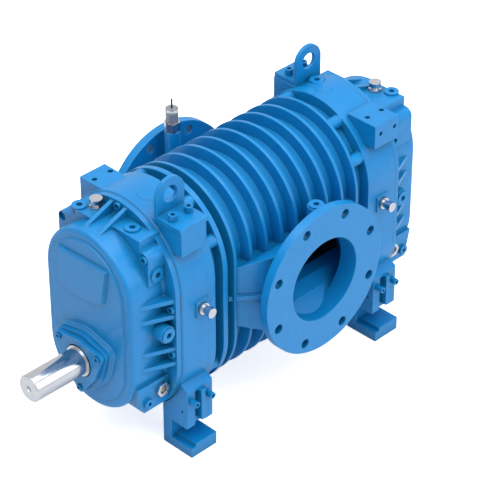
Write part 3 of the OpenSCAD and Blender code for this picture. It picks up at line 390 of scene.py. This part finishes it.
def castShield(look):
    # bare shield that stands out of the drive cover, its lower edge an arc
    shape = bmesh.new()
    start, end = look["arcEnds"]
    outline = list(look["top"])
    for j in range(look["arcSteps"] + 1):
        y = start + (end - start) * j / look["arcSteps"]
        drop = math.sqrt(look["arcRadius"] ** 2 - (y - look["arcMiddle"][0]) ** 2)
        outline.append((y, look["arcMiddle"][1] - drop))
    middle = [sum(p[axis] for p in outline) / len(outline) for axis in (0, 1)]
    foot = [shape.verts.new(metres(look["back"], y, z)) for y, z in outline]
    crest = []
    for y, z in outline:
        away = Vector((y - middle[0], z - middle[1]))
        y, z = Vector((y, z)) - away.normalized() * look["slope"]
        crest.append(shape.verts.new(metres(look["crest"], y, z)))
    for j in range(len(foot)):
        k = (j + 1) % len(foot)
        shape.faces.new((foot[j], foot[k], crest[k], crest[j]))
    shape.faces.new(crest)
    shape.faces.new(foot[::-1])
    return newPiece("shieldRelief", shape, paint["casting"], False)


throat = {
    "middle": (16.0, 315.0),     # mm, x and z of the pipe flanges
    "halfWidth": 62.0,
    # mm, y and height from the flange middle: from the bore to the slot of the barrel
    "section": ((214.0, 95.3), (214.0, 98.88), (176.0, 81.70), (176.0, 70.5), (180.0, 71.6)),
}


def neckThroat(name, side, look):
    # two ramps that lead the round bore of a neck over into the flatter slot of the barrel
    shape = bmesh.new()
    for up in (-1, 1):
        rings = [[shape.verts.new(metres(look["middle"][0] + x, side * y,
                                         look["middle"][1] + up * z))
                  for y, z in look["section"]] for x in (-look["halfWidth"], look["halfWidth"])]
        for ring in rings:
            shape.faces.new(ring)
        for j in range(len(look["section"])):
            k = (j + 1) % len(look["section"])
            shape.faces.new((rings[0][j], rings[0][k], rings[1][k], rings[1][j]))
    return newPiece(name, shape, paint["casting"], False)


smallParts = {
    "edge": 0.2,   # mm, broken edge of both
    # reflector discs behind the sight glasses
    "reflectors": {"middles": ((-349.0, -132.2, 173.0), (349.0, -132.2, 173.0)),
                   "radius": 5.8, "height": 0.8},
    # dark blue insert that shows through the clear sensor body
    "insert": {"middle": (-10.0, 184.0, 536.0), "radius": 7.5, "height": 18.0},
}


def disc(shape, middle, axis, look):
    # a short cylinder centred on middle, its axis along the given direction
    turn = Vector(axis).to_track_quat("Z", "Y").to_matrix().to_4x4()
    radius = look["radius"] / 1000
    made = bmesh.ops.create_cone(shape, cap_ends=True, segments=48, radius1=radius,
                                 radius2=radius, depth=look["height"] / 1000,
                                 matrix=Matrix.Translation(metres(*middle)) @ turn)
    rim = [e for v in made["verts"] for e in v.link_edges if len(e.link_faces) == 2
           and abs(e.link_faces[0].normal.dot(e.link_faces[1].normal)) < 0.5]
    bmesh.ops.bevel(shape, geom=list(set(rim)), offset=smallParts["edge"] / 1000, segments=2,
                    profile=0.5, affect="EDGES", material=-1)


bossFillet(sealBoss)
castShield(shieldRelief)
neckThroat("neckThroatNear", -1, throat)
neckThroat("neckThroatFar", 1, throat)
reflectors = bmesh.new()
for middle in smallParts["reflectors"]["middles"]:
    disc(reflectors, middle, (0, -1, 0), smallParts["reflectors"])
newPiece("sightReflectors", reflectors, metal["machinedBronze"], False)
insert = bmesh.new()
disc(insert, smallParts["insert"]["middle"], (0, 0, 1), smallParts["insert"])
newPiece("sensorInsert", insert, soft["blueInsert"], False)
print("detail pieces added")


cameraPlace = {
    "eye": (-2.8020, -2.8269, 3.0538),           # m
    "backward": (-0.58141, -0.57865, 0.57195),   # from the object to the eye
    "lens": 164.1, "sensor": 36.0,               # mm
}
camera = bpy.data.objects.new("photoCamera", bpy.data.cameras.new("photoCamera"))
bpy.context.scene.collection.objects.link(camera)
camera.data.lens = cameraPlace["lens"]
camera.data.sensor_width = cameraPlace["sensor"]
camera.data.clip_end = 50.0
camera.location = cameraPlace["eye"]
camera.rotation_mode = "QUATERNION"
camera.rotation_quaternion = (-Vector(cameraPlace["backward"])).to_track_quat("-Z", "Y")
bpy.context.scene.camera = camera

studio = {
    "floorColour": "#F4F4F4",
    "floorReach": 20.0,       # m, from its middle to its edge
    "floorGlow": 0.72,        # how white the floor shows itself to the camera
    "mirrorGlow": 0.12,       # the same, as metal and glass show it
    "skyFill": 0.27,          # light that comes from all round
    "lampAim": (0.0, 0.0, 0.32),
    "lamps": {
        "overhead": {"place": (-0.4, -0.4, 3.6), "size": 4.6, "watts": 172.0},
        "front": {"place": (0.9, -3.8, 2.2), "size": 3.6, "watts": 70.0},
        "side": {"place": (-4.0, 0.2, 1.6), "size": 2.6, "watts": 9.0},
    },
}


def studioFloor(look):
    # white paper that keeps the object's shadow
    mesh = bpy.data.meshes.new("studioFloor")
    shape = bmesh.new()
    bmesh.ops.create_grid(shape, x_segments=1, y_segments=1, size=look["floorReach"])
    shape.to_mesh(mesh)
    shape.free()
    floor = bpy.data.objects.new("studioFloor", mesh)
    bpy.context.scene.collection.objects.link(floor)
    material, tree, place = newMaterial("whitePaperSweep")
    path = addNode(tree, "ShaderNodeLightPath")
    mirrored = addNode(tree, "ShaderNodeMath", {"operation": "MAXIMUM"},
                       {0: path.outputs["Is Glossy Ray"], 1: path.outputs["Is Transmission Ray"]})
    reflected = addNode(tree, "ShaderNodeMath", {"operation": "MULTIPLY", 1: look["mirrorGlow"]},
                        {0: mirrored.outputs[0]})
    glow = addNode(tree, "ShaderNodeMath", {"operation": "MULTIPLY_ADD", 1: look["floorGlow"]},
                   {0: path.outputs["Is Camera Ray"], 2: reflected.outputs[0]})
    shader = addNode(tree, "ShaderNodeBsdfPrincipled",
                     {"Base Color": linearColour(look["floorColour"]), "Roughness": 0.9,
                      "Emission Color": (1.0, 1.0, 1.0, 1.0)},
                     {"Emission Strength": glow.outputs[0]})
    closeMaterial(tree, shader)
    mesh.materials.append(material)


def studioWorld(look):
    # white where the camera, metal and glass see it, a soft fill for all the rest
    world = bpy.data.worlds.new("studioWorld")
    bpy.context.scene.world = world
    world.use_nodes = True
    tree = world.node_tree
    tree.nodes.clear()
    path = addNode(tree, "ShaderNodeLightPath")
    mirrored = addNode(tree, "ShaderNodeMath", {"operation": "MAXIMUM"},
                       {0: path.outputs["Is Glossy Ray"], 1: path.outputs["Is Transmission Ray"]})
    seen = addNode(tree, "ShaderNodeMath", {"operation": "MAXIMUM"},
                   {0: path.outputs["Is Camera Ray"], 1: mirrored.outputs[0]})
    strength = addNode(tree, "ShaderNodeMapRange", {"To Min": look["skyFill"], "To Max": 1.0},
                       {"Value": seen.outputs[0]})
    sky = addNode(tree, "ShaderNodeBackground", {"Color": (1.0, 1.0, 1.0, 1.0)},
                  {"Strength": strength.outputs["Result"]})
    addNode(tree, "ShaderNodeOutputWorld", links={"Surface": sky.outputs[0]})


def studioLamp(name, look, aim):
    lamp = bpy.data.lights.new(name, "AREA")
    lamp.shape = "SQUARE"
    lamp.size = look["size"]
    lamp.energy = look["watts"]
    thing = bpy.data.objects.new(name, lamp)
    bpy.context.scene.collection.objects.link(thing)
    thing.location = look["place"]
    towards = Vector(aim) - thing.location
    thing.rotation_euler = towards.to_track_quat("-Z", "Y").to_euler()


studioFloor(studio)
studioWorld(studio)
for name, look in studio["lamps"].items():
    studioLamp(name, look, studio["lampAim"])
bpy.context.scene.view_settings.view_transform = "Standard"
print("studio ready")
